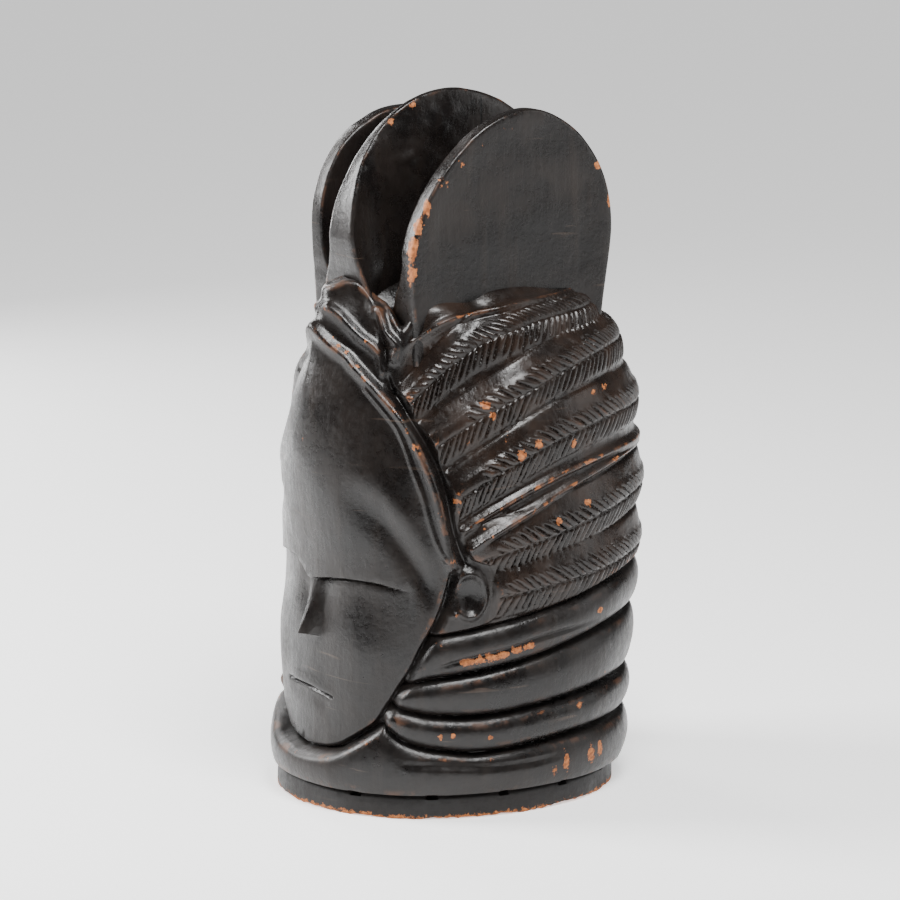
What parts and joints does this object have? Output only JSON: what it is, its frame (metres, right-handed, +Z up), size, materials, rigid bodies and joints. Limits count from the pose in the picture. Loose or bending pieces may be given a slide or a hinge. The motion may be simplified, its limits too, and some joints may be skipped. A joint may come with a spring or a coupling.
{
  "type": "helmet mask",
  "caption": "Carved black wooden helmet mask with a ringed neck, a pointed face, plaited hair and upright crest lobes",
  "frame": {"origin": "centre of the object's bounding box in plan, on the plane of the rim's underside", "axes": "+Z up, the face toward -Y, the mask's own left toward +X"},
  "size_m": [0.1976, 0.2314, 0.415],
  "materials": {
    "dark_wood": "black-brown stained and rubbed wood, satin, worn to bare orange-brown wood on the edges"
  },
  "bodies": {
    "root": {"helmet_mask": "dark_wood"}
  },
  "joints": []
}
